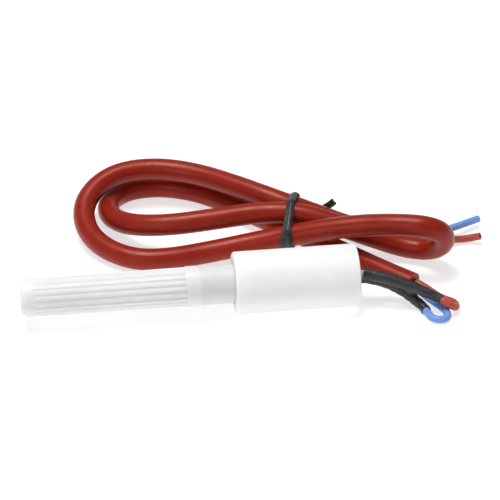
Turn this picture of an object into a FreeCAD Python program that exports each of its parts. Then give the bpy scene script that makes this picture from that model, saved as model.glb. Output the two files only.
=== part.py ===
import FreeCAD, Part
import Sketcher
import math
import os

# Hot-rod burner probe: a ribbed ceramic rod cemented into a plain ceramic collar, with two
# short leads crimped under shrink tubing to a two-core silicone cable.  The cable is bundled
# with a twist tie, and its far end is cut off bare.
#
# Frame: the rod lies along X, its tip at -X and the cable side at +X.  +Y is behind, +Z is up.
# The collar lies on the plane z = 0, and the rigid probe is centred on x = 0 and y = 0.

doc = FreeCAD.newDocument("probe")
sheet = doc.addObject("Spreadsheet::Sheet", "sizes")

# Each row: alias, size in millimetres (or a count, or degrees), what it is.
DIMENSIONS = [
    ("exposed_length", 60.0, "rod in front of the collar"),
    ("insert_length", 20.0, "rod inside the collar"),
    ("root_diameter", 11.2, "rod at the collar"),
    ("tip_diameter", 10.8, "rod at the tip"),
    ("tip_band", 3.4, "plain length at the tip, in front of the grooves"),
    ("tip_round", 1.3, "rounding of the tip edge"),
    ("groove_zone", 43.2, "length of the grooves"),
    ("groove_count", 20, "grooves round the rod"),
    ("groove_depth", 0.17, "depth of a groove"),
    ("groove_radius", 0.75, "radius of the groove's section"),
    ("band_length", 3.7, "smooth band behind the grooves"),
    ("band_rise", 0.18, "how far the smooth band stands proud"),
    ("tip_wall", 5.0, "solid ceramic at the tip"),
    ("sheath_bore", 7.0, "bore of the rod"),
    ("former_diameter", 5.0, "twin-bore former"),
    ("former_gap", 0.4, "gap between the former and the end of the bore"),
    ("seal_length", 3.0, "glass seal at the back of the bore"),
    ("coil_start", 1.5, "from the former's front end to the first turn"),
    ("coil_turns", 28, "turns of the winding"),
    ("coil_pitch", 1.5, "spacing of the turns"),
    ("coil_wire", 0.42, "element wire"),
    ("fill_gap", 0.05, "between the winding and the powder fill"),
    ("pin_diameter", 0.9, "terminal pins"),
    ("pin_spacing", 3.1, "centres of the two pins"),
    ("pin_tilt", 30.0, "lean of the pair of pins from upright, in degrees"),
    ("pin_reach", 5.0, "pin standing out behind the rod"),
    ("collar_diameter", 17.8, "collar"),
    ("collar_length", 35.1, "collar"),
    ("front_round", 0.9, "rounding of the collar's front edge"),
    ("rear_round", 0.35, "rounding of the collar's rear edge"),
    ("cement_gap", 0.35, "cement between rod and collar, on each side"),
    ("cement_recess", 0.8, "cement stops short of the collar's front face"),
    ("lip_bore", 8.6, "bore of the stop lip behind the rod"),
    ("lip_length", 1.4, "thickness of the stop lip"),
    ("pocket_diameter", 12.6, "terminal pocket at the back of the collar"),
    ("potting_recess", 0.6, "potting stops short of the rear face"),
    ("connector_diameter", 2.3, "barrel that joins a pin to its lead"),
    ("connector_length", 7.0, "the same barrel"),
    ("connector_overlap", 3.2, "pin inside the barrel"),
    ("conductor_diameter", 1.1, "stranded copper"),
    ("core_diameter", 2.2, "insulated core of the cable"),
    ("sleeve_diameter", 1.9, "woven glass sleeve on a lead"),
    ("crimp_diameter", 2.0, "splice barrel"),
    ("crimp_length", 7.0, "the same barrel"),
    ("crimp_place", 8.6, "from the collar's rear face to the splice barrel"),
    ("bare_gap", 0.4, "insulation stops short of a barrel"),
    ("shrink_bore", 2.4, "shrink tube, inside"),
    ("shrink_upper", 3.2, "upper shrink tube, outside"),
    ("shrink_lower", 2.9, "lower shrink tube, outside"),
    ("lead_straight", 0.8, "each lead runs straight out of the collar"),
    ("shrink_gap", 1.7, "from the collar's rear face to the shrink tubes"),
    ("upper_length", 23.6, "upper shrink tube"),
    ("lower_length", 22.4, "lower shrink tube"),
    ("jacket_diameter", 6.5, "silicone cable"),
    ("core_offset", 1.2, "core centres from the middle of the cable"),
    ("tie_width", 1.9, "twist tie strip"),
    ("tie_thickness", 0.7, "twist tie strip"),
    ("tie_tail", 1.5, "twisted end of the tie"),
    ("tie_clearance", 0.35, "between the tie and the cable"),
    ("tie_spread", 7.0, "lean of each wrap of the tie from the other, in degrees"),
]
for row, (alias, size, note) in enumerate(DIMENSIONS, start=1):
    sheet.set("A%d" % row, note)
    sheet.set("B%d" % row, str(size))
    sheet.setAlias("B%d" % row, alias)
doc.recompute()

AXIS_HEIGHT = "sizes.collar_diameter / 2"
ROD_TIP = "-(sizes.exposed_length + sizes.collar_length) / 2"
COLLAR_FRONT = "(sizes.exposed_length - sizes.collar_length) / 2"
COLLAR_REAR = "(sizes.exposed_length + sizes.collar_length) / 2"
ROD_REAR = COLLAR_FRONT + " + sizes.insert_length"
FORMER_FRONT = ROD_TIP + " + sizes.tip_wall + sizes.former_gap"
PIN_END = ROD_REAR + " + sizes.pin_reach"

nodes = []


def size_of(expression):
    """The value of an expression in the sheet's aliases."""
    return float(sheet.evalExpression(expression))


def keep(piece, label):
    """Name a finished sub-part after its file and list it."""
    piece.Label = label
    nodes.append(piece)
    return piece


def put_on_axis(piece, along, across="0", up="0"):
    """Put a piece's own origin beside the rod's axis, this far along X."""
    piece.setExpression("Placement.Base.x", along)
    piece.setExpression("Placement.Base.y", across)
    piece.setExpression("Placement.Base.z", AXIS_HEIGHT + " + " + up)


def origin_feature(body, role):
    return next(item for item in body.Origin.OriginFeatures if item.Role == role)


# ---------------------------------------------------------------- turned pieces

def section(body, name, corners):
    """A closed sketch on the body's XY plane, every corner bound to two expressions."""
    sketch = body.newObject("Sketcher::SketchObject", name)
    sketch.AttachmentSupport = [(origin_feature(body, "XY_Plane"), "")]
    sketch.MapMode = "FlatFace"
    spots = [FreeCAD.Vector(size_of(x), size_of(y), 0) for x, y in corners]
    for i, spot in enumerate(spots):
        sketch.addGeometry(Part.LineSegment(spot, spots[(i + 1) % len(spots)]), False)
    for i in range(len(spots)):
        sketch.addConstraint(Sketcher.Constraint("Coincident", i, 2, (i + 1) % len(spots), 1))
    for i, (x, y) in enumerate(corners):
        bind_corner(sketch, i, "DistanceX", -2, x, spots[i].x)
        bind_corner(sketch, i, "DistanceY", -1, y, spots[i].y)
    return sketch


def bind_corner(sketch, line, kind, axis, expression, guess):
    """Hold the start of a line on an axis, or at a distance given by an expression."""
    if expression == "0":
        sketch.addConstraint(Sketcher.Constraint("PointOnObject", line, 1, axis))
        return
    index = sketch.addConstraint(Sketcher.Constraint(kind, -1, 1, line, 1, guess))
    sketch.setExpression("Constraints[%d]" % index, expression)


def turned(label, corners, along):
    """A body turned about the rod's axis from a half section of (length, radius) corners."""
    body = doc.addObject("PartDesign::Body", label)
    sketch = section(body, label + "_section", corners)
    turn = body.newObject("PartDesign::Revolution", label + "_turn")
    turn.Profile = sketch
    turn.ReferenceAxis = (sketch, ["H_Axis"])
    turn.Angle = 360
    put_on_axis(body, along)
    doc.recompute()
    return body


def edges_at(shape, along, radius):
    """Names of the round edges at this length and radius."""
    found = []
    for number, edge in enumerate(shape.Edges, start=1):
        box = edge.BoundBox
        if box.XLength < 1e-4 and abs(box.XMin - along) < 1e-3 and abs(box.YMax - radius) < 1e-3:
            found.append("Edge%d" % number)
    return found


def round_edges(body, name, spots, radius):
    """Fillet the round edges of a turned body at the given (length, radius) spots."""
    base = body.Tip
    names = []
    for along, distance in spots:
        names += edges_at(base.Shape, size_of(along), size_of(distance))
    if len(names) != len(spots):
        raise RuntimeError("%s: %d edges for %d spots" % (name, len(names), len(spots)))
    fillet = body.newObject("PartDesign::Fillet", name)
    fillet.Base = (base, names)
    fillet.setExpression("Radius", radius)
    body.Tip = fillet
    doc.recompute()
    return fillet


def ribbed_sheath():
    """The outer ceramic: a blind tube with a rounded tip, long grooves and a proud band."""
    groove_end = "(sizes.tip_band + sizes.groove_zone)"
    band_end = "(sizes.tip_band + sizes.groove_zone + sizes.band_length)"
    whole = "(sizes.exposed_length + sizes.insert_length)"
    taper = "(sizes.root_diameter - sizes.tip_diameter) / 2 / sizes.exposed_length"
    tip_radius = "sizes.tip_diameter / 2"
    corners = [
        ("0", "0"),
        ("0", tip_radius),
        (groove_end, tip_radius + " + " + taper + " * " + groove_end),
        (groove_end, tip_radius + " + " + taper + " * " + groove_end + " + sizes.band_rise"),
        (band_end, tip_radius + " + " + taper + " * " + band_end + " + sizes.band_rise"),
        (band_end, tip_radius + " + " + taper + " * " + band_end),
        ("sizes.exposed_length", "sizes.root_diameter / 2"),
        (whole, "sizes.root_diameter / 2"),
        (whole, "sizes.sheath_bore / 2"),
        ("sizes.tip_wall", "sizes.sheath_bore / 2"),
        ("sizes.tip_wall", "0"),
    ]
    body = turned("ribbed_sheath", corners, ROD_TIP)
    round_edges(body, "tip_rounding", [("0", tip_radius)], "sizes.tip_round")
    plain = body.Tip.Shape.Volume

    # One groove: a rounded slot, turned about an axis outside the rod and parallel to X.
    centre = "(%s + sizes.groove_radius - sizes.groove_depth)" % tip_radius
    first = "(sizes.tip_band + sizes.groove_radius)"
    last = "(sizes.tip_band + sizes.groove_zone - sizes.groove_radius)"
    near = size_of(first)
    far = size_of(last)
    radius = size_of("sizes.groove_radius")
    height = size_of(centre)
    sketch = body.newObject("Sketcher::SketchObject", "groove_section")
    sketch.AttachmentSupport = [(origin_feature(body, "XY_Plane"), "")]
    sketch.MapMode = "FlatFace"
    vector = FreeCAD.Vector
    bottom = sketch.addGeometry(
        Part.LineSegment(vector(near, height - radius, 0), vector(far, height - radius, 0)), False)
    back = sketch.addGeometry(
        Part.ArcOfCircle(Part.Circle(vector(far, height, 0), vector(0, 0, 1), radius),
                         -math.pi / 2, 0), False)
    axis = sketch.addGeometry(
        Part.LineSegment(vector(far + radius, height, 0), vector(near - radius, height, 0)), False)
    front = sketch.addGeometry(
        Part.ArcOfCircle(Part.Circle(vector(near, height, 0), vector(0, 0, 1), radius),
                         math.pi, 3 * math.pi / 2), False)
    constraint = Sketcher.Constraint
    sketch.addConstraint(constraint("Tangent", bottom, 2, back, 1))
    sketch.addConstraint(constraint("Coincident", back, 2, axis, 1))
    sketch.addConstraint(constraint("Coincident", axis, 2, front, 1))
    sketch.addConstraint(constraint("Tangent", front, 2, bottom, 1))
    sketch.addConstraint(constraint("Horizontal", axis))
    sketch.addConstraint(constraint("PointOnObject", back, 3, axis))
    sketch.addConstraint(constraint("PointOnObject", front, 3, axis))
    for kind, line, point, expression, guess in (
        ("DistanceX", front, 3, first, near),
        ("DistanceX", back, 3, last, far),
        ("DistanceY", back, 3, centre, height),
    ):
        index = sketch.addConstraint(constraint(kind, -1, 1, line, point, guess))
        sketch.setExpression("Constraints[%d]" % index, expression)
    index = sketch.addConstraint(constraint("Radius", back, radius))
    sketch.setExpression("Constraints[%d]" % index, "sizes.groove_radius")
    doc.recompute()

    groove = body.newObject("PartDesign::Groove", "groove")
    groove.Profile = sketch
    groove.ReferenceAxis = (sketch, ["Edge%d" % (axis + 1)])
    groove.Angle = 360
    body.Tip = groove
    doc.recompute()
    ring = body.newObject("PartDesign::PolarPattern", "groove_ring")
    ring.Originals = [groove]
    ring.Axis = (origin_feature(body, "X_Axis"), [""])
    ring.Angle = 360
    ring.setExpression("Occurrences", "sizes.groove_count")
    body.Tip = ring
    doc.recompute()
    removed = plain - body.Shape.Volume
    print("grooves take %.1f mm3 off the sheath" % removed)
    if removed < 1:
        raise RuntimeError("the grooves cut nothing")
    keep(body, "ribbed_sheath")


def collar():
    """The plain ceramic collar: a socket for the rod, a stop lip and a terminal pocket."""
    socket = "(sizes.root_diameter / 2 + sizes.cement_gap)"
    lip_end = "(sizes.insert_length + sizes.lip_length)"
    outside = "sizes.collar_diameter / 2"
    corners = [
        ("0", socket),
        ("0", outside),
        ("sizes.collar_length", outside),
        ("sizes.collar_length", "sizes.pocket_diameter / 2"),
        (lip_end, "sizes.pocket_diameter / 2"),
        (lip_end, "sizes.lip_bore / 2"),
        ("sizes.insert_length", "sizes.lip_bore / 2"),
        ("sizes.insert_length", socket),
    ]
    body = turned("collar", corners, COLLAR_FRONT)
    round_edges(body, "front_rounding", [("0", outside)], "sizes.front_round")
    round_edges(body, "rear_rounding", [("sizes.collar_length", outside)], "sizes.rear_round")
    keep(body, "collar")


def collar_cement():
    """The ring of cement that holds the rod in the collar's socket."""
    inside = "sizes.root_diameter / 2"
    outside = "(sizes.root_diameter / 2 + sizes.cement_gap)"
    length = "(sizes.insert_length - sizes.cement_recess)"
    corners = [("0", inside), ("0", outside), (length, outside), (length, inside)]
    keep(turned("collar_cement", corners, COLLAR_FRONT + " + sizes.cement_recess"),
         "collar_cement")


def element_winding():
    """The close winding of the element wire, as one sleeve with a ridge for each turn."""
    inside = "sizes.former_diameter / 2"
    skin = "(%s + sizes.coil_wire / 2)" % inside
    outside = "(%s + sizes.coil_wire)" % inside
    length = "(sizes.coil_turns * sizes.coil_pitch)"
    corners = [("0", inside), ("0", outside), (length, outside), (length, inside)]
    body = turned("element_winding", corners, FORMER_FRONT + " + sizes.coil_start")
    gap = "(sizes.coil_pitch - sizes.coil_wire)"
    proud = "(%s + sizes.coil_wire)" % outside
    slot = section(body, "turn_gap", [
        ("sizes.coil_wire", skin),
        ("sizes.coil_wire", proud),
        ("(sizes.coil_wire + %s)" % gap, proud),
        ("(sizes.coil_wire + %s)" % gap, skin),
    ])
    groove = body.newObject("PartDesign::Groove", "turn_groove")
    groove.Profile = slot
    groove.ReferenceAxis = (slot, ["H_Axis"])
    groove.Angle = 360
    body.Tip = groove
    doc.recompute()
    row = body.newObject("PartDesign::LinearPattern", "turn_row")
    row.Originals = [groove]
    row.Direction = (origin_feature(body, "X_Axis"), [""])
    row.Mode = "Spacing"
    row.setExpression("Offset", "sizes.coil_pitch")
    row.setExpression("Occurrences", "sizes.coil_turns")
    body.Tip = row
    doc.recompute()
    keep(body, "element_winding")


# ---------------------------------------------------------------- primitives and booleans

def cylinder(name, radius, length, along, across="0", up="0"):
    """A Part cylinder that lies along X, beside the rod's axis."""
    rod = doc.addObject("Part::Cylinder", name)
    rod.Placement = FreeCAD.Placement(
        FreeCAD.Vector(0, 0, 0), FreeCAD.Rotation(FreeCAD.Vector(0, 1, 0), 90))
    rod.setExpression("Radius", radius)
    rod.setExpression("Height", length)
    put_on_axis(rod, along, across, up)
    return rod


def joined(name, pieces):
    fuse = doc.addObject("Part::MultiFuse", name)
    fuse.Shapes = pieces
    return fuse


def cut_away(label, base, tool):
    piece = doc.addObject("Part::Cut", label)
    piece.Base = base
    piece.Tool = tool
    return keep(piece, label)


# The pair of pins leans from upright: "a" is the upper pin, in front, and "b" the lower one.
PIN_ACROSS = "sin(sizes.pin_tilt) * sizes.pin_spacing / 2"
PIN_UP = "cos(sizes.pin_tilt) * sizes.pin_spacing / 2"
PIN_PLACES = {"a": ("-" + PIN_ACROSS, PIN_UP), "b": (PIN_ACROSS, "-" + PIN_UP)}


def pair_of_bores(name, radius, length, along):
    """Two cylinders on the pins' centres, to cut holes with."""
    bores = [cylinder(name + "_" + side, radius, length, along, "(%s)" % across, "(%s)" % up)
             for side, (across, up) in PIN_PLACES.items()]
    return joined(name, bores)


def rod_insides():
    """What the sealed rod holds: former, powder fill, pins and the glass seal."""
    pin = "sizes.pin_diameter / 2"
    seal_front = ROD_REAR + " - sizes.seal_length"
    former_length = "(%s) - (%s)" % (seal_front, FORMER_FRONT)
    former = cylinder("former_blank", "sizes.former_diameter / 2", former_length, FORMER_FRONT)
    cut_away("element_former", former,
             pair_of_bores("former_bores", pin, former_length, FORMER_FRONT))

    bore_front = ROD_TIP + " + sizes.tip_wall"
    blank = cylinder("fill_blank", "sizes.sheath_bore / 2",
                     "(%s) - (%s)" % (seal_front, bore_front), bore_front)
    winding_room = cylinder(
        "winding_room", "sizes.former_diameter / 2 + sizes.coil_wire + sizes.fill_gap",
        former_length, FORMER_FRONT)
    cut_away("powder_fill", blank, winding_room)

    pin_length = "(%s) - (%s)" % (PIN_END, FORMER_FRONT)
    for side, (across, up) in PIN_PLACES.items():
        keep(cylinder("terminal_pin_" + side, pin, pin_length, FORMER_FRONT,
                      "(%s)" % across, "(%s)" % up), "terminal_pin_" + side)

    seal = cylinder("seal_blank", "sizes.sheath_bore / 2", "sizes.seal_length", seal_front)
    cut_away("glass_seal", seal,
             pair_of_bores("seal_bores", pin, "sizes.seal_length", seal_front))


def terminal_pocket():
    """The barrels on the pins and the potting that fills the collar's pocket."""
    barrel_front = PIN_END + " - sizes.connector_overlap"
    pin_part = "sizes.connector_overlap"
    lead_part = "(sizes.connector_length - sizes.connector_overlap)"
    for side, (across, up) in PIN_PLACES.items():
        beside = ("(%s)" % across, "(%s)" % up)
        name = "pin_connector_" + side
        blank = cylinder(name + "_blank", "sizes.connector_diameter / 2",
                         "sizes.connector_length", barrel_front, *beside)
        pin_hole = cylinder(name + "_pin_hole", "sizes.pin_diameter / 2",
                            pin_part, barrel_front, *beside)
        lead_hole = cylinder(name + "_lead_hole", "sizes.conductor_diameter / 2",
                             lead_part, PIN_END, *beside)
        cut_away(name, blank, joined(name + "_holes", [pin_hole, lead_hole]))

    pocket_front = ROD_REAR + " + sizes.lip_length"
    potting_rear = COLLAR_REAR + " - sizes.potting_recess"
    potting_length = "(%s) - (%s)" % (potting_rear, pocket_front)
    barrel_rear = barrel_front + " + sizes.connector_length"
    blank = cylinder("potting_blank", "sizes.pocket_diameter / 2", potting_length, pocket_front)
    holes = joined("potting_holes", [
        pair_of_bores("potting_pin_holes", "sizes.pin_diameter / 2", potting_length, pocket_front),
        pair_of_bores("potting_barrel_holes", "sizes.connector_diameter / 2",
                      "sizes.connector_length", barrel_front),
        pair_of_bores("potting_sleeve_holes", "sizes.sleeve_diameter / 2",
                      "(%s) - (%s)" % (potting_rear, barrel_rear), barrel_rear),
    ])
    cut_away("rear_potting", blank, holes)


# ---------------------------------------------------------------- the cable and the leads

CORNER_SHARE = 0.45
# The shortest piece of a route worth keeping, and how far a sweep's volume may be off.
SHORTEST_PIECE = 1e-3
SWEEP_TOLERANCE = 0.02

# The cable from its splice end to its cut end, as the corners of its route.
CABLE_ROUTE = [
    # from the splice end, along the floor and under the bundle, through the tie
    (64.5, 1.5, 3.3), (57.0, 9.0, 3.3), (46.5, 20.5, 3.6), (34.5, 31.5, 4.6),
    (23.0, 44.0, 4.4), (11.5, 57.8, 3.4), (-0.2, 64.1, 3.3),
    # the inner loop, rising as it comes round
    (-10.0, 64.3, 3.3), (-16.9, 60.4, 3.4), (-20.0, 52.5, 4.2), (-18.5, 42.5, 6.0),
    (-12.5, 35.0, 8.2),
    # the middle strand, over the bundle and down again
    (-2.0, 31.5, 9.8), (10.5, 31.5, 10.8), (23.0, 32.0, 11.8), (35.0, 30.0, 12.2),
    (46.5, 26.0, 9.4), (57.0, 23.0, 6.0), (65.5, 20.5, 3.6),
    # the tight fold at the cable side, standing up and leaning back over itself
    (72.0, 17.5, 4.0), (75.5, 13.5, 8.0), (75.0, 10.5, 13.8), (69.5, 9.0, 17.6),
    (62.0, 12.0, 17.0),
    # the front strand, over the others and down to the floor beside the rod
    (53.0, 16.5, 14.8), (43.0, 19.5, 12.4), (32.0, 23.0, 8.8), (20.5, 25.0, 5.6),
    (8.0, 25.0, 3.6), (-4.0, 23.0, 3.4),
    # the outer loop
    (-13.5, 24.0, 3.4), (-21.5, 30.0, 3.6), (-26.5, 38.5, 4.6), (-27.5, 48.0, 6.8),
    (-23.5, 55.5, 9.6), (-15.5, 60.5, 11.6),
    # the back strand, over the bundle and down to the cut end
    (-4.0, 61.5, 11.8), (8.0, 57.0, 11.6), (19.5, 47.5, 11.8), (30.5, 38.2, 11.4),
    (41.5, 34.5, 8.0), (52.0, 31.5, 4.4), (63.0, 28.5, 3.4), (71.0, 27.5, 3.3),
    (77.5, 27.0, 3.3),
]

# Where each lead goes behind the collar, and its core's way back to the cable's splice end.
UPPER_ROUTE = [
    (54.5, -2.6, 9.2), (61.5, -5.0, 7.6), (67.0, -7.1, 5.6), (70.1, -8.5, 4.5),
    (71.4, -10.0, 4.3), (73.2, -10.8, 3.2), (74.9, -9.7, 1.8), (75.2, -6.4, 1.3),
    (72.0, -3.9, 1.2), (69.6, -1.5, 1.9), (67.2, 0.5, 3.0),
]
LOWER_ROUTE = [
    (53.0, 0.8, 6.4), (58.5, -0.2, 4.5), (63.2, -3.9, 2.3), (65.9, -8.0, 1.6),
    (66.4, -10.9, 1.3), (67.3, -13.2, 1.2), (69.3, -14.4, 1.2), (71.3, -13.7, 1.2),
    (72.1, -11.6, 1.2), (71.5, -9.2, 1.2), (69.9, -6.2, 1.2), (67.8, -3.3, 1.6),
    (65.5, -1.2, 3.0),
]
# The two cores past the cable's cut end.
BLUE_TAIL_ROUTE = [(81.0, 29.4, 3.1), (85.6, 31.8, 2.8), (91.0, 34.9, 2.4)]
BROWN_TAIL_ROUTE = [(80.4, 25.1, 2.1), (84.2, 25.8, 1.4), (87.2, 25.9, 1.7), (89.3, 24.7, 2.8)]


def route_edges(points):
    """Straight runs joined by tangent arcs, and the radii of the arcs."""
    corners = [FreeCAD.Vector(*point) for point in points]
    runs = [b.distanceToPoint(a) for a, b in zip(corners, corners[1:])]
    edges = []
    radii = []
    start = corners[0]
    for i in range(1, len(corners) - 1):
        back = (corners[i - 1] - corners[i]).normalize()
        onward = (corners[i + 1] - corners[i]).normalize()
        cut = CORNER_SHARE * min(runs[i - 1], runs[i])
        half_turn = (math.pi - back.getAngle(onward)) / 2
        radius = cut / math.tan(half_turn)
        arc_start = corners[i] + back * cut
        arc_end = corners[i] + onward * cut
        middle = corners[i] + (back + onward).normalize() * (
            radius / math.cos(half_turn) - radius)
        edges.append(Part.LineSegment(start, arc_start).toShape())
        edges.append(Part.Arc(arc_start, middle, arc_end).toShape())
        radii.append(radius)
        start = arc_end
    edges.append(Part.LineSegment(start, corners[-1]).toShape())
    return edges, radii


def stretch_of(edges, begin, finish):
    """The part of a route between two distances along it."""
    kept = []
    travelled = 0.0
    for edge in edges:
        low = max(begin - travelled, 0.0)
        high = min(finish - travelled, edge.Length)
        if high - low > SHORTEST_PIECE:
            first = edge.getParameterByLength(low)
            last = edge.getParameterByLength(high)
            kept.append(edge.Curve.toShape(first, last))
        travelled += edge.Length
    return kept


def swept(edges, radius):
    """A round rod along a route, checked against its section times its length."""
    path = Part.Wire(edges)
    start = path.Edges[0]
    direction = start.tangentAt(start.FirstParameter)
    circle = Part.Circle(start.valueAt(start.FirstParameter), direction, radius)
    rod = path.makePipeShell([Part.Wire([circle.toShape()])], True, False)
    expected = math.pi * radius ** 2 * path.Length
    if abs(rod.Volume / expected - 1) > SWEEP_TOLERANCE:
        raise RuntimeError("a swept rod has %.1f mm3, not %.1f" % (rod.Volume, expected))
    return rod


def solid_node(label, shape):
    """A sub-part whose shape is made by Part's own functions."""
    piece = doc.addObject("Part::Feature", label)
    piece.Shape = shape
    piece.Placement = FreeCAD.Placement()
    return keep(piece, label)


def cable_jacket():
    edges, radii = route_edges(CABLE_ROUTE)
    length = sum(edge.Length for edge in edges)
    diameter = size_of("sizes.jacket_diameter")
    print("cable: %.1f mm long, arc radii %s mm" % (
        length, " ".join("%.0f" % radius for radius in radii)))
    print("cable: tightest arc %.1f diameters" % (min(radii) / diameter))
    solid_node("cable_jacket", swept(edges, diameter / 2))


def beside_cable_end(place, inward, side):
    """A core's centre on the cable's end face, level with the cable's own centre."""
    end = FreeCAD.Vector(*place)
    along = (FreeCAD.Vector(*inward) - end).normalize()
    across = FreeCAD.Vector(0, 0, 1).cross(along).normalize()
    return end + across * (side * size_of("sizes.core_offset"))


def spliced_lead(side, core, route, shrink_diameter, shrink_length, across_sign):
    """One lead: conductor, sleeve, splice barrel, core with its copper, and shrink tube."""
    across, up = PIN_PLACES[side]
    rear = size_of(COLLAR_REAR)
    pin = (size_of(across), size_of(AXIS_HEIGHT) + size_of(up))
    lead_start = size_of(PIN_END)
    straight_end = rear + size_of("sizes.lead_straight")
    cable_end = beside_cable_end(CABLE_ROUTE[0], CABLE_ROUTE[1], across_sign)
    points = [(lead_start, *pin), (straight_end, *pin)] + route + [tuple(cable_end)]
    edges, radii = route_edges(points)
    whole = sum(edge.Length for edge in edges)
    print("lead %s: %.1f mm, arc radii %s mm" % (
        side, whole, " ".join("%.1f" % radius for radius in radii)))

    to_face = rear - lead_start
    barrel_rear = size_of("sizes.connector_length - sizes.connector_overlap")
    gap = size_of("sizes.bare_gap")
    crimp_start = to_face + size_of("sizes.crimp_place")
    crimp_end = crimp_start + size_of("sizes.crimp_length")
    crimp_middle = (crimp_start + crimp_end) / 2
    shrink_start = to_face + size_of("sizes.shrink_gap")
    copper = size_of("sizes.conductor_diameter") / 2

    def tube(begin, finish, outer, inner):
        part = stretch_of(edges, begin, finish)
        return swept(part, outer).cut(swept(part, inner))

    solid_node("lead_conductor_" + side, swept(stretch_of(edges, 0, crimp_middle), copper))
    solid_node("lead_sleeve_" + side, tube(
        barrel_rear, crimp_start - gap, size_of("sizes.sleeve_diameter") / 2, copper))
    solid_node("splice_crimp_" + side, tube(
        crimp_start, crimp_end, size_of("sizes.crimp_diameter") / 2, copper))
    solid_node(core + "_copper", swept(stretch_of(edges, crimp_middle, whole), copper))
    solid_node(core + "_core", tube(
        crimp_end + gap, whole, size_of("sizes.core_diameter") / 2, copper))
    solid_node("shrink_tube_" + side, tube(
        shrink_start, shrink_start + shrink_length, shrink_diameter / 2,
        size_of("sizes.shrink_bore") / 2))


def cut_tail(colour, route, across_sign):
    """A core that stands out of the cable's cut end, with its copper."""
    start = beside_cable_end(CABLE_ROUTE[-1], CABLE_ROUTE[-2], across_sign)
    edges, radii = route_edges([tuple(start)] + route)
    copper = size_of("sizes.conductor_diameter") / 2
    core = swept(edges, size_of("sizes.core_diameter") / 2)
    solid_node("tail_core_" + colour, core.cut(swept(edges, copper)))
    solid_node("tail_copper_" + colour, swept(edges, copper))


# ---------------------------------------------------------------- the twist tie

TIE_TOP = (33.2, 30.5, 14.5)
TIE_LEAN = 15.5
TIE_REACH = 16.0
TIE_TAIL_ROUTE = [(35.2, 41.0, 9.8), (40.2, 41.2, 6.4), (44.8, 41.2, 5.2), (47.4, 39.0, 9.4)]


def tie_plane(lean):
    """The normal of a plane across the strands, leaning about the tie's top."""
    turn = FreeCAD.Rotation(FreeCAD.Vector(0, 0, 1), -TIE_LEAN).multiply(
        FreeCAD.Rotation(FreeCAD.Vector(0, 1, 0), lean))
    return turn.multVec(FreeCAD.Vector(1, 0, 0))


def strand_centres(origin, normal):
    """Centres of the strands in a plane; an oblique strand gives the two ends of its oval."""
    radius = size_of("sizes.jacket_diameter / 2")
    spots = []
    corners = [FreeCAD.Vector(*point) for point in CABLE_ROUTE]
    for a, b in zip(corners, corners[1:]):
        before = (a - origin).dot(normal)
        after = (b - origin).dot(normal)
        spot = a + (b - a) * (before / (before - after))
        if before * after >= 0 or spot.distanceToPoint(origin) > TIE_REACH:
            continue
        run = (b - a).normalize()
        slant = abs(run.dot(normal))
        sideways = (run - normal * run.dot(normal)).normalize()
        stretch = sideways * (radius / slant - radius)
        spots += [spot - stretch, spot + stretch]
    return spots


def hull(spots, normal):
    """The outermost of some points in a plane, in order round it."""
    across = FreeCAD.Vector(0, 0, 1).cross(normal).normalize()
    upward = normal.cross(across)
    ordered = sorted(spots, key=lambda spot: (spot.dot(across), spot.dot(upward)))
    outline = []
    for chain in (ordered, ordered[::-1]):
        side = []
        for spot in chain:
            while len(side) > 1 and (side[-1] - side[-2]).cross(spot - side[-1]).dot(normal) <= 0:
                side.pop()
            side.append(spot)
        outline += side[:-1]
    return outline


def tie_wrap(lean):
    """One wrap of the strip round the strands, as a flat ring of the strip's width."""
    origin = FreeCAD.Vector(*TIE_TOP)
    normal = tie_plane(lean)
    outline = hull(strand_centres(origin, normal), normal)
    loop = Part.makePolygon(outline + [outline[0]])
    inside = size_of("sizes.jacket_diameter / 2 + sizes.tie_clearance")
    inner = loop.makeOffset2D(inside)
    outer = loop.makeOffset2D(inside + size_of("sizes.tie_thickness"))
    ring = Part.Face(outer).cut(Part.Face(inner))
    width = size_of("sizes.tie_width")
    ring.translate(normal * (-width / 2))
    return ring.extrude(normal * width)


def twist_tie():
    spread = size_of("sizes.tie_spread")
    wraps = tie_wrap(spread).fuse(tie_wrap(-spread))
    edges, radii = route_edges(TIE_TAIL_ROUTE)
    tail = swept(edges, size_of("sizes.tie_tail") / 2)
    solid_node("twist_tie", wraps.fuse(tail))


ribbed_sheath()
collar()
collar_cement()
element_winding()
rod_insides()
terminal_pocket()
cable_jacket()
spliced_lead("a", "brown", UPPER_ROUTE, size_of("sizes.shrink_upper"),
             size_of("sizes.upper_length"), -1)
spliced_lead("b", "blue", LOWER_ROUTE, size_of("sizes.shrink_lower"),
             size_of("sizes.lower_length"), 1)
cut_tail("blue", BLUE_TAIL_ROUTE, -1)
cut_tail("brown", BROWN_TAIL_ROUTE, 1)
twist_tie()
doc.recompute()

for item in doc.Objects:
    if "Invalid" in item.State or "Error" in item.State:
        raise RuntimeError("%s failed: %s" % (item.Label, item.State))
for piece in nodes:
    shape = piece.Shape
    if shape.isNull() or not shape.isValid() or len(shape.Solids) != 1:
        raise RuntimeError("%s is not one valid solid" % piece.Label)

os.makedirs("parts", exist_ok=True)
for piece in nodes:
    piece.Shape.exportStep("parts/%s.step" % piece.Label)
    box = piece.Shape.optimalBoundingBox()
    print("%-20s %8.1f mm3   x %6.1f..%5.1f  y %5.1f..%5.1f  z %4.1f..%4.1f" % (
        piece.Label, piece.Shape.Volume, box.XMin, box.XMax, box.YMin, box.YMax,
        box.ZMin, box.ZMax))
print("%d sub-parts" % len(nodes))
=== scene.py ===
import math

import bpy
from mathutils import Matrix, Vector


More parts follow.
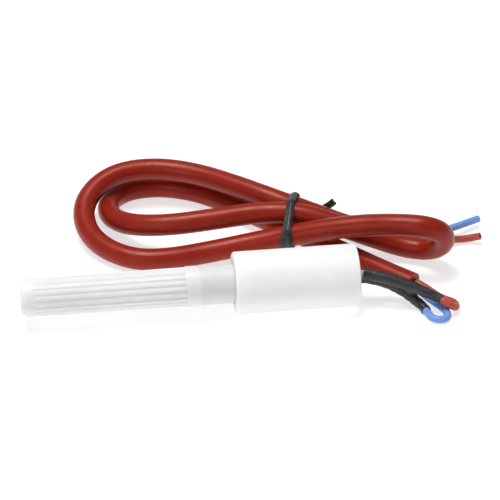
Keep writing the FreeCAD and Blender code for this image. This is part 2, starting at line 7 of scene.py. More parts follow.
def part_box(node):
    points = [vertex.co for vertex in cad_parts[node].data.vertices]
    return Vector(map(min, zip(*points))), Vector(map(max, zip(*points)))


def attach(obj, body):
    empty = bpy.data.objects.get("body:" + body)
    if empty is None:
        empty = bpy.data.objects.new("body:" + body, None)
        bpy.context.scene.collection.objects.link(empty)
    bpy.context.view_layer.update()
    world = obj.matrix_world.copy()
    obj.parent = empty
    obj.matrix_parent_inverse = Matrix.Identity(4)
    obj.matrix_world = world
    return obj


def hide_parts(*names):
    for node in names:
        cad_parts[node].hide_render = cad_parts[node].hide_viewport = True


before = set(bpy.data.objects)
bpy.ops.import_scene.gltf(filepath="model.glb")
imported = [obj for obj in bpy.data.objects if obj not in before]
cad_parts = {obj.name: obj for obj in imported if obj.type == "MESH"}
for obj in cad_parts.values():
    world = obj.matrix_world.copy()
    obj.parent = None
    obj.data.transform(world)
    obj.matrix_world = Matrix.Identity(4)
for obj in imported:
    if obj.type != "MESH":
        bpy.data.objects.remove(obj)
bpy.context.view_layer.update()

# ---------------------------------------------------------------- camera, floor and light
# The probe lies on a sheet of white acrylic that is lit from below, under one softbox, with a
# wider one low at the front on the left.  The camera looks down on it with a long lens.

ELEVATION = math.radians(33.0)
TURN = math.radians(-7.28)
CAMERA_DISTANCE = 0.6
LOOK_AT = Vector((0.01926, 0.01652, 0.0089))

camera_data = bpy.data.cameras.new("camera")
camera_data.lens = 149.42
camera_data.sensor_width = 36.0
camera = bpy.data.objects.new("camera", camera_data)
bpy.context.scene.collection.objects.link(camera)
backward = Vector((math.sin(TURN) * math.cos(ELEVATION), -math.cos(TURN) * math.cos(ELEVATION),
                   math.sin(ELEVATION)))
camera.location = LOOK_AT + backward * CAMERA_DISTANCE
camera.rotation_euler = backward.to_track_quat("Z", "Y").to_euler()
bpy.context.scene.camera = camera


def softbox(name, place, aim, size, power):
    """A square soft light that faces a point."""
    light = bpy.data.lights.new(name, "AREA")
    light.size = size
    light.energy = power
    lamp = bpy.data.objects.new(name, light)
    lamp.location = place
    lamp.rotation_euler = (Vector(place) - Vector(aim)).to_track_quat("Z", "Y").to_euler()
    bpy.context.scene.collection.objects.link(lamp)


softbox("key_softbox", (-0.1, 0.1, 0.8), LOOK_AT, 0.36, 5.7)
softbox("front_softbox", (-0.6, -0.8, 0.5), LOOK_AT, 0.6, 1.8)

world = bpy.data.worlds.new("studio")
world.use_nodes = True
world.node_tree.nodes["Background"].inputs["Color"].default_value = (1.0, 1.0, 1.0, 1.0)
world.node_tree.nodes["Background"].inputs["Strength"].default_value = 0.3
bpy.context.scene.world = world
bpy.context.scene.view_settings.view_transform = "Standard"


def new_finish(name, **sockets):
    """A finish and its shader, with the values that are the same all over."""
    material = bpy.data.materials.new(name)
    material.use_nodes = True
    shader = material.node_tree.nodes["Principled BSDF"]
    for socket, value in sockets.items():
        shader.inputs[socket.replace("_", " ")].default_value = value
    return material, shader


def grain(material, scale, detail=4.0, stretch=(1.0, 1.0, 1.0), vector=None):
    """Noise from 0 to 1, on the piece's own coordinates unless another vector is given."""
    nodes, links = material.node_tree.nodes, material.node_tree.links
    mapping = nodes.new("ShaderNodeMapping")
    mapping.inputs["Scale"].default_value = stretch
    noise = nodes.new("ShaderNodeTexNoise")
    noise.inputs["Scale"].default_value = scale
    noise.inputs["Detail"].default_value = detail
    if vector is None:
        vector = nodes.new("ShaderNodeTexCoord").outputs["Object"]
    links.new(vector, mapping.inputs["Vector"])
    links.new(mapping.outputs["Vector"], noise.inputs["Vector"])
    return noise.outputs["Fac"]


def shade_by(material, shader, factor, dark, light, low=0.3, high=0.7):
    """The base colour runs from dark to light as the factor goes from low to high."""
    ramp = material.node_tree.nodes.new("ShaderNodeValToRGB")
    for stop, place, colour in zip(ramp.color_ramp.elements, (low, high), (dark, light)):
        stop.position = place
        stop.color = (*colour, 1.0)
    material.node_tree.links.new(factor, ramp.inputs["Fac"])
    material.node_tree.links.new(ramp.outputs["Color"], shader.inputs["Base Color"])


def roughness_by(material, shader, factor, smooth, rough):
    """The roughness runs from smooth to rough with the factor."""
    span = material.node_tree.nodes.new("ShaderNodeMapRange")
    span.inputs["From Min"].default_value = 0.3
    span.inputs["From Max"].default_value = 0.7
    span.inputs["To Min"].default_value = smooth
    span.inputs["To Max"].default_value = rough
    material.node_tree.links.new(factor, span.inputs["Value"])
    material.node_tree.links.new(span.outputs["Result"], shader.inputs["Roughness"])


def relief_by(material, shader, factor, height):
    """Bump of a height in metres, added to any that the shader has."""
    links = material.node_tree.links
    bump = material.node_tree.nodes.new("ShaderNodeBump")
    bump.inputs["Distance"].default_value = height
    if shader.inputs["Normal"].is_linked:
        links.new(shader.inputs["Normal"].links[0].from_socket, bump.inputs["Normal"])
    links.new(factor, bump.inputs["Height"])
    links.new(bump.outputs["Normal"], shader.inputs["Normal"])


floor_finish, floor_shader = new_finish(
    "white_acrylic", Roughness=0.75, Emission_Color=(1.0, 1.0, 1.0, 1.0), Emission_Strength=0.65)
shade_by(floor_finish, floor_shader, grain(floor_finish, 6.0), (0.5, 0.5, 0.5), (0.54, 0.54, 0.54))
bpy.ops.object.select_all(action="DESELECT")
bpy.ops.mesh.primitive_plane_add(size=6.0, location=(0.0, 0.0, 0.0))
floor = bpy.context.object
floor.name = "floor"
floor.data.materials.append(floor_finish)

# ---------------------------------------------------------------- silicone cable
# Two-core cable in a soft red-brown silicone jacket.  It runs out from under the collar, goes
# twice round a loose hank with one sharp hairpin, and ends cut off bare beside the hairpin.

JACKET_DIAMETER = 0.0065
JACKET_WALL = 0.0017
MOUTH_DEPTH = 0.0001
SMOOTH_ANGLE = math.radians(50.0)
MERGE_DISTANCE = 1e-7
SQUARE_ON = -0.9
CABLE_ROUTE = [
    (0.0645, 0.0015, 0.0033), (0.0570, 0.0090, 0.0033), (0.0465, 0.0205, 0.0036),
    (0.0345, 0.0315, 0.0046), (0.0230, 0.0440, 0.0042), (0.0115, 0.0578, 0.0034),
    (-0.0002, 0.0641, 0.0033), (-0.0100, 0.0643, 0.0033), (-0.0169, 0.0604, 0.0034),
    (-0.0200, 0.0525, 0.0042), (-0.0185, 0.0425, 0.0060), (-0.0125, 0.0350, 0.0082),
    (-0.0020, 0.0315, 0.0098), (0.0105, 0.0315, 0.0108), (0.0230, 0.0320, 0.0118),
    (0.0350, 0.0300, 0.0122), (0.0465, 0.0260, 0.0094), (0.0570, 0.0230, 0.0060),
    (0.0655, 0.0205, 0.0036), (0.0720, 0.0175, 0.0040), (0.0755, 0.0135, 0.0080),
    (0.0750, 0.0105, 0.0138), (0.0695, 0.0090, 0.0176), (0.0620, 0.0120, 0.0170),
    (0.0530, 0.0165, 0.0148), (0.0430, 0.0195, 0.0124), (0.0320, 0.0230, 0.0088),
    (0.0205, 0.0250, 0.0056), (0.0080, 0.0250, 0.0036), (-0.0040, 0.0230, 0.0034),
    (-0.0135, 0.0240, 0.0034), (-0.0215, 0.0300, 0.0036), (-0.0265, 0.0385, 0.0046),
    (-0.0275, 0.0480, 0.0068), (-0.0235, 0.0555, 0.0096), (-0.0155, 0.0605, 0.0116),
    (-0.0040, 0.0615, 0.0118), (0.0080, 0.0570, 0.0116), (0.0195, 0.0475, 0.0118),
    (0.0305, 0.0382, 0.0114), (0.0415, 0.0345, 0.0080), (0.0520, 0.0315, 0.0044),
    (0.0630, 0.0285, 0.0034), (0.0710, 0.0275, 0.0033), (0.0775, 0.0270, 0.0033),
]


def pick(piece):
    """Makes a piece the only one that the next operators work on."""
    bpy.ops.object.select_all(action="DESELECT")
    piece.select_set(True)
    bpy.context.view_layer.objects.active = piece


def lay_line(name, route):
    """A cord's own line: one open spline with the route's points as its control points."""
    curve = bpy.data.curves.new(name, "CURVE")
    curve.dimensions = "3D"
    spline = curve.splines.new("NURBS")
    spline.points.add(len(route) - 1)
    for point, place in zip(spline.points, route):
        point.co = (*place, 1.0)
    spline.order_u = 3
    spline.use_endpoint_u = True
    spline.resolution_u = 12
    piece = bpy.data.objects.new(name, curve)
    bpy.context.scene.collection.objects.link(piece)
    return piece


def points_along(line):
    """The points of a line, read from its spline."""
    mesh = bpy.data.meshes.new_from_object(line)
    places = [vertex.co.copy() for vertex in mesh.vertices]
    bpy.data.meshes.remove(mesh)
    return places


def draw_out(line, diameter):
    """Turns a line into a closed round rod, as silicone is extruded."""
    line.data.bevel_depth = diameter / 2
    line.data.bevel_resolution = 6
    line.data.use_fill_caps = True
    pick(line)
    bpy.ops.object.convert(target="MESH")
    bpy.ops.object.mode_set(mode="EDIT")
    bpy.ops.mesh.select_all(action="SELECT")
    bpy.ops.mesh.remove_doubles(threshold=MERGE_DISTANCE)
    bpy.ops.mesh.normals_make_consistent(inside=False)
    bpy.ops.object.mode_set(mode="OBJECT")
    return bpy.context.object


def open_mouth(rod, end, inward, reach, wall, depth):
    """Sinks the middle of a rod's cut end, so that its wall stands up round it."""
    pick(rod)
    direction = inward.normalized()
    bpy.ops.object.mode_set(mode="EDIT")
    bpy.ops.mesh.select_mode(type="FACE")
    bpy.ops.mesh.select_all(action="DESELECT")
    bpy.ops.object.mode_set(mode="OBJECT")
    for face in rod.data.polygons:
        face.select = (face.center - end).length < reach and face.normal.dot(direction) < SQUARE_ON
    bpy.ops.object.mode_set(mode="EDIT")
    bpy.ops.mesh.inset(thickness=wall)
    bpy.ops.mesh.extrude_region_move(TRANSFORM_OT_translate={"value": direction * depth})
    bpy.ops.object.mode_set(mode="OBJECT")


def silicone(name, dark, light, sheen, roughness=0.3):
    """Extruded silicone: fine die lines along it, faint cloudy colour, a little dust."""
    material, shader = new_finish(name, Specular_IOR_Level=0.42, Specular_Tint=(*sheen, 1.0),
                                  Subsurface_Weight=0.12, Subsurface_Scale=0.4,
                                  Subsurface_Radius=(0.004, 0.0008, 0.0005))
    nodes, links = material.node_tree.nodes, material.node_tree.links
    parts = nodes.new("ShaderNodeSeparateXYZ")
    links.new(nodes.new("ShaderNodeTexCoord").outputs["UV"], parts.inputs["Vector"])
    turned = nodes.new("ShaderNodeMath")
    turned.operation = "MULTIPLY"
    turned.inputs[1].default_value = math.tau
    links.new(parts.outputs["X"], turned.inputs[0])
    around = nodes.new("ShaderNodeCombineXYZ")
    for operation, socket in (("COSINE", "X"), ("SINE", "Y")):
        wave = nodes.new("ShaderNodeMath")
        wave.operation = operation
        links.new(turned.outputs["Value"], wave.inputs[0])
        links.new(wave.outputs["Value"], around.inputs[socket])
    links.new(parts.outputs["Y"], around.inputs["Z"])
    die_lines = grain(material, 9.0, 3.0, (1.0, 1.0, 0.6), around.outputs["Vector"])
    clouds = grain(material, 160.0, 5.0)
    shade_by(material, shader, clouds, dark, light)
    roughness_by(material, shader, grain(material, 420.0, 6.0), roughness, roughness + 0.12)
    relief_by(material, shader, die_lines, 0.00004)
    relief_by(material, shader, grain(material, 2200.0, 3.0), 0.00001)
    return material


jacket_finish = silicone("jacket_silicone", (0.235, 0.009, 0.0035), (0.285, 0.014, 0.005),
                         (1.0, 0.62, 0.5))
cable = lay_line("silicone_cable", CABLE_ROUTE)
cable_points = points_along(cable)
cable = draw_out(cable, JACKET_DIAMETER)
for end, inner in ((cable_points[0], cable_points[1]), (cable_points[-1], cable_points[-2])):
    open_mouth(cable, end, inner - end, JACKET_DIAMETER, JACKET_WALL, MOUTH_DEPTH)
bpy.ops.object.shade_smooth_by_angle(angle=SMOOTH_ANGLE)
cable.data.materials.append(jacket_finish)
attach(cable, "root")
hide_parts("cable_jacket")

# ---------------------------------------------------------------- leads and splices
# Each pin's lead leaves the collar in a woven glass sleeve and is crimped to a core of the
# cable.  A shrink tube covers the splice, and the core folds back into the cable's near end.

CORE_DIAMETER = 0.0022
CORE_OFFSET = 0.0012
LEAD_STRAIGHT = 0.0008
SLEEVE_DIAMETER = 0.0019
SLEEVE_LENGTH = 0.008
SHRINK_WALL = 0.00022
SHRINK_GAP = 0.0017
CORE_COVER = 0.0035
UPPER_ROUTE = [
    (0.0545, -0.0026, 0.0092), (0.0615, -0.0050, 0.0076), (0.0670, -0.0071, 0.0056),
    (0.0701, -0.0085, 0.0045), (0.0714, -0.0100, 0.0043), (0.0732, -0.0108, 0.0032),
    (0.0749, -0.0097, 0.0018), (0.0752, -0.0064, 0.0013), (0.0720, -0.0039, 0.0012),
    (0.0696, -0.0015, 0.0019), (0.0672, 0.0005, 0.0030),
]
LOWER_ROUTE = [
    (0.0530, 0.0008, 0.0064), (0.0585, -0.0002, 0.0045), (0.0632, -0.0039, 0.0023),
    (0.0659, -0.0080, 0.0016), (0.0664, -0.0109, 0.0013), (0.0673, -0.0132, 0.0012),
    (0.0693, -0.0144, 0.0012), (0.0713, -0.0137, 0.0012), (0.0721, -0.0116, 0.0012),
    (0.0715, -0.0092, 0.0012), (0.0699, -0.0062, 0.0012), (0.0678, -0.0033, 0.0016),
    (0.0655, -0.0012, 0.0030),
]


def beside_end(end, inner, side):
    """A core's centre on the cable's end face, level with the cable's own centre."""
    across = Vector((0.0, 0.0, 1.0)).cross(inner - end).normalized()
    return end + across * (side * CORE_OFFSET)


def stretch_of(places, begin, finish):
    """The points of a line between two distances along it."""
    kept = []
    travelled = 0.0
    for here, there in zip(places, places[1:]):
        run = (there - here).length
        low = max(begin - travelled, 0.0)
        high = min(finish - travelled, run)
        if low < high:
            kept += [here.lerp(there, low / run)] if not kept else []
            kept.append(here.lerp(there, high / run))
        travelled += run
    return kept


def length_of(places):
    return sum((there - here).length for here, there in zip(places, places[1:]))


def follow(name, places, diameter, girths=None):
    """A round rod along points read from a line; girths scale its diameter at each point."""
    curve = bpy.data.curves.new(name, "CURVE")
    curve.dimensions = "3D"
    spline = curve.splines.new("POLY")
    spline.points.add(len(places) - 1)
    for point, place in zip(spline.points, places):
        point.co = (*place, 1.0)
    for point, girth in zip(spline.points, girths or []):
        point.radius = girth
    piece = bpy.data.objects.new(name, curve)
    bpy.context.scene.collection.objects.link(piece)
    return draw_out(piece, diameter)


def bore_out(rod, wall):
    """Takes the selected end faces off a rod and gives the skin that is left a wall."""
    pick(rod)
    bpy.ops.object.mode_set(mode="EDIT")
    bpy.ops.mesh.delete(type="ONLY_FACE")
    bpy.ops.object.mode_set(mode="OBJECT")
    solid = rod.modifiers.new("wall", "SOLIDIFY")
    solid.thickness = wall
    solid.offset = -1.0
    bpy.ops.object.modifier_apply(modifier=solid.name)


def select_ends(rod, places, reach):
    """Selects the faces that close a rod at both ends."""
    pick(rod)
    bpy.ops.object.mode_set(mode="EDIT")
    bpy.ops.mesh.select_mode(type="FACE")
    bpy.ops.mesh.select_all(action="DESELECT")
    bpy.ops.object.mode_set(mode="OBJECT")
    for end, inner in ((places[0], places[1]), (places[-1], places[-2])):
        direction = (inner - end).normalized()
        for face in rod.data.polygons:
            if (face.center - end).length < reach and face.normal.dot(direction) < SQUARE_ON:
                face.select = True


def crumple(piece, fold_size, depth):
    """Wrinkles a thin film by noise of a fold's size."""
    pick(piece)
    cloud = bpy.data.textures.new(piece.name + "_wrinkles", "CLOUDS")
    cloud.noise_scale = fold_size
    cloud.noise_depth = 2
    wrinkle = piece.modifiers.new("wrinkles", "DISPLACE")
    wrinkle.texture = cloud
    wrinkle.strength = depth
    bpy.ops.object.modifier_apply(modifier=wrinkle.name)


def shrink_film():
    """Black heat-shrink film: low sheen, streaks along it, bluish where it catches the light."""
    material, shader = new_finish("shrink_black", Specular_IOR_Level=0.5)
    streaks = grain(material, 900.0, 5.0, (0.25, 1.0, 1.0))
    shade_by(material, shader, streaks, (0.010, 0.011, 0.013), (0.030, 0.032, 0.036))
    roughness_by(material, shader, grain(material, 500.0, 5.0), 0.34, 0.58)
    relief_by(material, shader, streaks, 0.00006)
    relief_by(material, shader, grain(material, 420.0, 3.0, (0.5, 1.0, 1.0)), 0.0003)
    return material


def glass_weave():
    """Woven glass yarn: a fine plain weave, off white."""
    material, shader = new_finish("glass_sleeve", Roughness=0.8)
    nodes, links = material.node_tree.nodes, material.node_tree.links
    weave = nodes.new("ShaderNodeTexWave")
    weave.wave_type = "BANDS"
    weave.bands_direction = "DIAGONAL"
    weave.inputs["Scale"].default_value = 900.0
    weave.inputs["Distortion"].default_value = 1.5
    links.new(nodes.new("ShaderNodeTexCoord").outputs["Object"], weave.inputs["Vector"])
    shade_by(material, shader, weave.outputs["Fac"], (0.62, 0.61, 0.57), (0.85, 0.84, 0.80))
    relief_by(material, shader, weave.outputs["Fac"], 0.00006)
    return material


film_finish = shrink_film()
weave_finish = glass_weave()
brown_finish = silicone("brown_silicone", (0.38, 0.060, 0.040), (0.46, 0.085, 0.060),
                        (1.0, 0.7, 0.62), 0.36)
blue_finish = silicone("blue_silicone", (0.155, 0.28, 0.64), (0.19, 0.34, 0.74),
                       (0.8, 0.9, 1.0), 0.36)
collar_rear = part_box("collar")[1].x

# side, core colour, route, place across the cable, core finish, then the shrink tube: length,
# width at the collar, width at the core, size of its wrinkles and their height
LEADS = [
    ("a", "brown", UPPER_ROUTE, -1, brown_finish, 0.0236, 0.0034, 0.0027, 0.0040, 0.00022),
    ("b", "blue", LOWER_ROUTE, 1, blue_finish, 0.0224, 0.0033, 0.0027, 0.0024, 0.00080),
]
on_cable = []
for side, colour, route, across, finish, tube_length, wide, narrow, fold_size, depth in LEADS:
    pin_low, pin_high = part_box("terminal_pin_" + side)
    pin = (pin_low + pin_high) / 2
    start = Vector((pin_high.x, pin.y, pin.z))
    straight_end = Vector((collar_rear + LEAD_STRAIGHT, pin.y, pin.z))
    core_end = beside_end(cable_points[0], cable_points[1], across)
    line = lay_line("lead_line_" + side, [start, straight_end] + route + [core_end])
    lead_points = points_along(line)
    bpy.data.objects.remove(line)
    whole = length_of(lead_points)
    face = collar_rear - start.x

    sleeve_points = stretch_of(lead_points, face - SLEEVE_LENGTH / 2, face + SLEEVE_LENGTH / 2)
    sleeve = follow("glass_sleeve_" + side, sleeve_points, SLEEVE_DIAMETER)
    sleeve.data.materials.append(weave_finish)
    bpy.ops.object.shade_smooth_by_angle(angle=SMOOTH_ANGLE)
    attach(sleeve, "root")
    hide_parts("lead_sleeve_" + side)

    shrink_points = stretch_of(lead_points, face + SHRINK_GAP, face + SHRINK_GAP + tube_length)
    last = len(shrink_points) - 1
    girths = [(wide + (narrow - wide) * i / last) / wide for i in range(last + 1)]
    tube = follow("shrink_tube_" + side + "_film", shrink_points, wide, girths)
    select_ends(tube, shrink_points, wide)
    bore_out(tube, SHRINK_WALL)
    crumple(tube, fold_size, depth)
    tube.data.materials.append(film_finish)
    bpy.ops.object.shade_smooth_by_angle(angle=SMOOTH_ANGLE)
    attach(tube, "root")
    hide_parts("shrink_tube_" + side)

    core_start = face + SHRINK_GAP + tube_length - CORE_COVER
    core_points = stretch_of(lead_points, core_start, whole)
    core = follow(colour + "_core_fold", core_points, CORE_DIAMETER)
    core.data.materials.append(finish)
    bpy.ops.object.shade_smooth_by_angle(angle=SMOOTH_ANGLE)
    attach(core, "root")
    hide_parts(colour + "_core", colour + "_copper")
    on_cable += [sleeve, tube, core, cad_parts["lead_conductor_" + side],
                 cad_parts["splice_crimp_" + side]]

# ---------------------------------------------------------------- cut cores
# At the cable's cut end the two silicone cores stick out, splayed.  Each is cut square, and
# its stranded copper ends a little below the cut.

COPPER_DIAMETER = 0.0011
COPPER_RECESS = 0.0012
STRAND_DIAMETER = 0.00034
STRANDS_ROUND = 6
CORE_WALL = 0.00045
TAILS = [
    ("blue", blue_finish, -1, [(0.0810, 0.0294, 0.0031), (0.0856, 0.0318, 0.0028),
                               (0.0910, 0.0349, 0.0024)]),
    ("brown", brown_finish, 1, [(0.0804, 0.0251, 0.0021), (0.0842, 0.0258, 0.0014),
                                (0.0872, 0.0259, 0.0017), (0.0893, 0.0247, 0.0028)]),
]


def bare_copper():
    """Stranded copper, dulled at the cut."""
    material, shader = new_finish("copper", Metallic=1.0)
    tarnish = grain(material, 1500.0, 4.0)
    shade_by(material, shader, tarnish, (0.20, 0.07, 0.04), (0.62, 0.27, 0.15))
    roughness_by(material, shader, tarnish, 0.3, 0.6)
    return material


copper_finish = bare_copper()
for colour, finish, across, route in TAILS:
    start = beside_end(cable_points[-1], cable_points[-2], across)
    line = lay_line("tail_line_" + colour, [start] + route)
    tail_points = points_along(line)
    bpy.data.objects.remove(line)
    tail = follow("cut_core_" + colour, tail_points, CORE_DIAMETER)
    open_mouth(tail, tail_points[-1], tail_points[-2] - tail_points[-1], CORE_DIAMETER,
               CORE_WALL, COPPER_RECESS)
    bpy.ops.object.shade_smooth_by_angle(angle=SMOOTH_ANGLE)
    tail.data.materials.append(finish)
    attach(tail, "root")
    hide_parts("tail_core_" + colour)

    whole = length_of(tail_points)
    middle = stretch_of(tail_points, whole - 3 * COPPER_RECESS, whole - COPPER_RECESS / 2)
    along = (middle[-1] - middle[0]).normalized()
    across_core = along.cross(Vector((0.0, 0.0, 1.0))).normalized()
    strands = [follow("strand", middle, STRAND_DIAMETER)]
    for i in range(STRANDS_ROUND):
        turn = Matrix.Rotation(math.tau * i / STRANDS_ROUND, 3, along)
        shift = turn @ across_core * STRAND_DIAMETER
        strands.append(follow("strand", [place + shift for place in middle], STRAND_DIAMETER))
    bpy.ops.object.select_all(action="DESELECT")
    for strand in strands:
        strand.select_set(True)
    bpy.ops.object.join()
    copper = bpy.context.object
    copper.name = "cut_copper_" + colour
    copper.data.materials.append(copper_finish)
    bpy.ops.object.shade_smooth_by_angle(angle=SMOOTH_ANGLE)
    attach(copper, "root")
    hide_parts("tail_copper_" + colour)
    on_cable += [tail, copper]

# ---------------------------------------------------------------- twist tie
# A black plastic strip with a wire down its middle goes twice round the hank.  The turns
# overlap at the top and part a little in front, and the two ends are twisted together behind.

TIE_TOP = Vector((0.0332, 0.0305, 0.0145))
TIE_TURN = math.radians(-15.5)
TIE_REACH = 0.016
TIE_CLEARANCE = 0.00035
STRIP_WIDTH = 0.0019
STRIP_EDGE = 0.00032
WIRE_RIDGE = 0.00034
LAYER = 0.0003
SPLAY_TOP = 0.0002
SPLAY_LOW = 0.0011
SPLAY_FROM = 0.002
SPLAY_LENGTH = 0.0075
TIE_TAIL_ROUTE = [
    (0.0352, 0.0410, 0.0098), (0.0402, 0.0412, 0.0064), (0.0448, 0.0412, 0.0052),
    (0.0474, 0.0390, 0.0094),
]
END_DIAMETER = 0.0011
TWIST_PITCH = 0.014
TWIST_STOP = 0.004
STRIP_SIDES = 20
ARC_STEP = math.radians(9.0)

tie_normal = Vector((math.cos(TIE_TURN), math.sin(TIE_TURN), 0.0))
tie_across = Vector((0.0, 0.0, 1.0)).cross(tie_normal).normalized()
tie_up = tie_normal.cross(tie_across)
tie_plane = Matrix((tie_across, tie_up, tie_normal)).transposed().to_4x4()
tie_plane.translation = TIE_TOP


def strand_ovals():
    """Where the cable passes through the tie's plane: the two ends of each slanting oval."""
    spots = []
    radius = JACKET_DIAMETER / 2
    for here, there in zip(cable_points, cable_points[1:]):
        before = (here - TIE_TOP).dot(tie_normal)
        after = (there - TIE_TOP).dot(tie_normal)
        spot = here.lerp(there, before / (before - after)) if before != after else here
        if before * after >= 0 or (spot - TIE_TOP).length > TIE_REACH:
            continue
        run = (there - here).normalized()
        slant = abs(run.dot(tie_normal))
        sideways = (run - tie_normal * run.dot(tie_normal)).normalized()
        for way in (-1, 1):
            place = spot + sideways * (way * (radius / slant - radius)) - TIE_TOP
            spots.append((place.dot(tie_across), place.dot(tie_up)))
    return spots


def outermost(spots):
    """The corners of the smallest loop round some spots, anticlockwise."""
    outline = []
    ordered = sorted(spots)
    for chain in (ordered, ordered[::-1]):
        side = []
        for spot in chain:
            while len(side) > 1:
                (ax, ay), (bx, by) = side[-2:]
                if (bx - ax) * (spot[1] - by) - (by - ay) * (spot[0] - bx) > 0:
                    break
                side.pop()
            side.append(spot)
        outline += side[:-1]
    return outline


def loop_round(corners, distance):
    """A taut loop at a distance from its corners: straight runs and round turns."""
    places = []
    count = len(corners)
    for i, (x, y) in enumerate(corners):
        back, onward = corners[i - 1], corners[(i + 1) % count]
        first = math.atan2(back[0] - x, y - back[1])
        last = math.atan2(x - onward[0], onward[1] - y)
        swing = (last - first) % math.tau
        turns = max(1, round(swing / ARC_STEP))
        for k in range(turns + 1):
            angle = first + swing * k / turns
            places.append((x + distance * math.cos(angle), y + distance * math.sin(angle)))
    return places


def strip_section():
    """The strip's section: thin edges and a wire in the middle."""
    curve = bpy.data.curves.new("strip_section", "CURVE")
    curve.dimensions = "2D"
    spline = curve.splines.new("POLY")
    spline.points.add(STRIP_SIDES - 1)
    for i, point in enumerate(spline.points):
        turn = math.tau * i / STRIP_SIDES
        wide = math.sin(turn) * STRIP_WIDTH / 2
        ridge = math.exp(-(wide / WIRE_RIDGE) ** 2)
        thick = math.cos(turn) * (STRIP_EDGE + (WIRE_RIDGE * 2 - STRIP_EDGE) * ridge) / 2
        point.co = (thick, wide, 0.0, 1.0)
    spline.use_cyclic_u = True
    section = bpy.data.objects.new("strip_section", curve)
    bpy.context.scene.collection.objects.link(section)
    return section


def tie_turn(name, way, section):
    """One turn of the strip, in the tie's own plane, moved sideways where it splays."""
    corners = outermost(strand_ovals())
    distance = JACKET_DIAMETER / 2 + TIE_CLEARANCE + STRIP_EDGE / 2
    lift = LAYER if way > 0 else 0.0
    curve = bpy.data.curves.new(name, "CURVE")
    curve.dimensions = "2D"
    curve.fill_mode = "NONE"
    spline = curve.splines.new("POLY")
    places = loop_round(corners, distance)
    spline.points.add(len(places) - 1)
    for point, (x, y) in zip(spline.points, places):
        point.co = (x, y + lift, 0.0, 1.0)
    spline.use_cyclic_u = True
    curve.bevel_mode = "OBJECT"
    curve.bevel_object = section
    turn = bpy.data.objects.new(name, curve)
    bpy.context.scene.collection.objects.link(turn)
    pick(turn)
    bpy.ops.object.convert(target="MESH")
    turn = bpy.context.object
    highest = max(vertex.co.y for vertex in turn.data.vertices)
    for vertex in turn.data.vertices:
        share = min(max((highest - vertex.co.y - SPLAY_FROM) / SPLAY_LENGTH, 0.0), 1.0)
        share = share * share * (3 - 2 * share)
        vertex.co.z += way * (SPLAY_TOP + (SPLAY_LOW - SPLAY_TOP) * share)
    turn.data.transform(tie_plane)
    return turn


def tie_plastic():
    """Black coating over the wire, smooth; grey-green sheen painted in random patches, also
    rougher.
    """
    material, shader = new_finish("tie_black", Specular_IOR_Level=0.45)
    sheen_and_scuffs = grain(material, 700.0, 6.0)
    # painted sheen: the lighter grey-green stop stands for highlights on the black plastic
    shade_by(material, shader, sheen_and_scuffs, (0.008, 0.010, 0.010), (0.034, 0.042, 0.040), 0.4, 0.75)
    roughness_by(material, shader, sheen_and_scuffs, 0.32, 0.5)
    relief_by(material, shader, grain(material, 1400.0, 3.0), 0.00002)
    return material


section = strip_section()
tie_pieces = [tie_turn("tie_turn_inner", -1, section), tie_turn("tie_turn_outer", 1, section)]
bpy.data.objects.remove(section)
line = lay_line("tie_tail_line", TIE_TAIL_ROUTE)
twist_points = points_along(line)
bpy.data.objects.remove(line)
twist_length = length_of(twist_points) - TWIST_STOP
for way in (0, 1):
    travelled = 0.0
    places = []
    for i, place in enumerate(twist_points):
        if i:
            travelled += (place - twist_points[i - 1]).length
        here = twist_points[min(i + 1, len(twist_points) - 1)]
        back = twist_points[max(i - 1, 0)]
        along = (here - back).normalized()
        upright = (Vector((0.0, 0.0, 1.0)) - along * along.z).normalized()
        left = max(twist_length - travelled, 0.0)
        turn = Matrix.Rotation(math.tau * left / TWIST_PITCH + math.pi * way, 3, along)
        places.append(place + turn @ upright * (END_DIAMETER / 2))
    tie_pieces.append(follow("tie_end", places, END_DIAMETER))
bpy.ops.object.select_all(action="DESELECT")
for piece in tie_pieces:
    piece.select_set(True)
bpy.ops.object.join()
tie = bpy.context.object
tie.name = "wire_twist_tie"
tie.data.materials.append(tie_plastic())
bpy.ops.object.mode_set(mode="EDIT")
bpy.ops.mesh.select_all(action="SELECT")
bpy.ops.mesh.remove_doubles(threshold=MERGE_DISTANCE)
bpy.ops.mesh.normals_make_consistent(inside=False)
bpy.ops.object.mode_set(mode="OBJECT")
bpy.ops.object.shade_smooth_by_angle(angle=SMOOTH_ANGLE)
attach(tie, "root")
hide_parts("twist_tie")
on_cable.append(tie)

# ---------------------------------------------------------------- ribbed ceramic rod
# A pressed and fired ceramic tube with rounded grooves round it, a smooth band and a plain
# shank a shade greyer.  It is slightly translucent and has an unglazed satin skin.

SHANK_FROM_TIP = 0.0503
SHANK_TONE = 0.91
TONE_BLEND = 0.0005


def give_finish(material, *names):
    """A CAD node keeps its shape and takes a finish."""
    for name in names:
        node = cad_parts[name]
        node.data.materials.clear()
        node.data.materials.append(material)


def fired_ceramic(name, dark, light, glow):
    """Fired white ceramic: cloudy tone and fine pressed grain."""
    material, shader = new_finish(name, Subsurface_Weight=glow, Subsurface_Scale=1.0,
                                  Subsurface_Radius=(0.0026, 0.0026, 0.0025),
                                  Specular_IOR_Level=0.45)
    shade_by(material, shader, grain(material, 120.0, 6.0), dark, light)
    roughness_by(material, shader, grain(material, 300.0, 5.0), 0.42, 0.6)
    relief_by(material, shader, grain(material, 1800.0, 4.0), 0.00001)
    return material


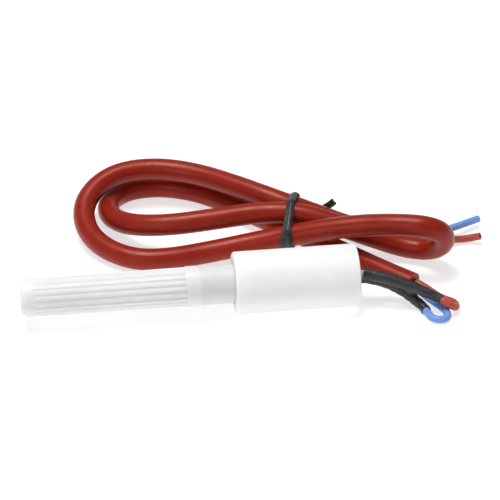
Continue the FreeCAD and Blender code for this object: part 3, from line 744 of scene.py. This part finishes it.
rod_finish = fired_ceramic("rod_ceramic", (0.73, 0.735, 0.74), (0.79, 0.795, 0.80), 0.8)
nodes, links = rod_finish.node_tree.nodes, rod_finish.node_tree.links
rod_shader = nodes["Principled BSDF"]
rod_places = nodes.new("ShaderNodeSeparateXYZ")
links.new(nodes.new("ShaderNodeTexCoord").outputs["Object"], rod_places.inputs["Vector"])
shank_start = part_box("ribbed_sheath")[0].x + SHANK_FROM_TIP
shank_tone = nodes.new("ShaderNodeMapRange")
shank_tone.inputs["From Min"].default_value = shank_start
shank_tone.inputs["From Max"].default_value = shank_start + TONE_BLEND
shank_tone.inputs["To Min"].default_value = 1.0
shank_tone.inputs["To Max"].default_value = SHANK_TONE
links.new(rod_places.outputs["X"], shank_tone.inputs["Value"])
toned = nodes.new("ShaderNodeHueSaturation")
links.new(shank_tone.outputs["Result"], toned.inputs["Value"])
links.new(rod_shader.inputs["Base Color"].links[0].from_socket, toned.inputs["Color"])
links.new(toned.outputs["Color"], rod_shader.inputs["Base Color"])
give_finish(rod_finish, "ribbed_sheath")

# ---------------------------------------------------------------- plain ceramic collar
# A plain turned ceramic cylinder with a rounded front edge and a crisper rear one.  The rod
# is cemented into its bore.

collar_finish = fired_ceramic("collar_ceramic", (0.83, 0.83, 0.825), (0.88, 0.88, 0.875), 0.3)
give_finish(collar_finish, "collar")

# ---------------------------------------------------------------- cement and potting
# Refractory cement fills the gap between rod and collar, and the pocket behind the pins.


def refractory_cement():
    """Trowelled cement: matte, gritty, slightly yellow against the ceramic."""
    material, shader = new_finish("cement", Roughness=0.92)
    grit = grain(material, 1200.0, 8.0)
    shade_by(material, shader, grit, (0.52, 0.50, 0.45), (0.72, 0.70, 0.65))
    relief_by(material, shader, grit, 0.00012)
    return material


give_finish(refractory_cement(), "collar_cement", "rear_potting")

# ---------------------------------------------------------------- inside the rod
# A twin-bore former carries the wound element in packed powder.  Two pins run through it and
# through a glass seal to barrels that hold the leads.


def matte_mineral(name, dark, light, grit_scale):
    """Fired or packed mineral, matte and fine-grained."""
    material, shader = new_finish(name, Roughness=0.88)
    grit = grain(material, grit_scale, 6.0)
    shade_by(material, shader, grit, dark, light)
    relief_by(material, shader, grit, 0.00003)
    return material


def drawn_metal(name, dark, light, smooth, rough):
    """Drawn or rolled metal with fine lines along it."""
    material, shader = new_finish(name, Metallic=1.0)
    lines = grain(material, 2500.0, 4.0, (0.08, 1.0, 1.0))
    shade_by(material, shader, lines, dark, light)
    roughness_by(material, shader, lines, smooth, rough)
    relief_by(material, shader, lines, 0.00001)
    return material


def fused_glass():
    """Sealing glass, milky green with small bubbles."""
    material, shader = new_finish("seal_glass", Transmission_Weight=0.3, IOR=1.5)
    bubbles = grain(material, 1600.0, 2.0)
    shade_by(material, shader, bubbles, (0.42, 0.55, 0.48), (0.66, 0.74, 0.70))
    roughness_by(material, shader, bubbles, 0.08, 0.25)
    return material


give_finish(matte_mineral("former_ceramic", (0.66, 0.64, 0.58), (0.78, 0.77, 0.72), 900.0),
            "element_former")
give_finish(matte_mineral("powder", (0.74, 0.74, 0.72), (0.88, 0.88, 0.86), 2400.0),
            "powder_fill")
give_finish(drawn_metal("element_wire", (0.10, 0.095, 0.09), (0.26, 0.25, 0.24), 0.4, 0.65),
            "element_winding")
give_finish(drawn_metal("nickel", (0.46, 0.44, 0.40), (0.66, 0.64, 0.60), 0.2, 0.4),
            "terminal_pin_a", "terminal_pin_b")
give_finish(drawn_metal("barrel_metal", (0.55, 0.53, 0.50), (0.76, 0.75, 0.72), 0.22, 0.42),
            "pin_connector_a", "pin_connector_b", "splice_crimp_a", "splice_crimp_b")
give_finish(copper_finish, "lead_conductor_a", "lead_conductor_b")
give_finish(fused_glass(), "glass_seal")
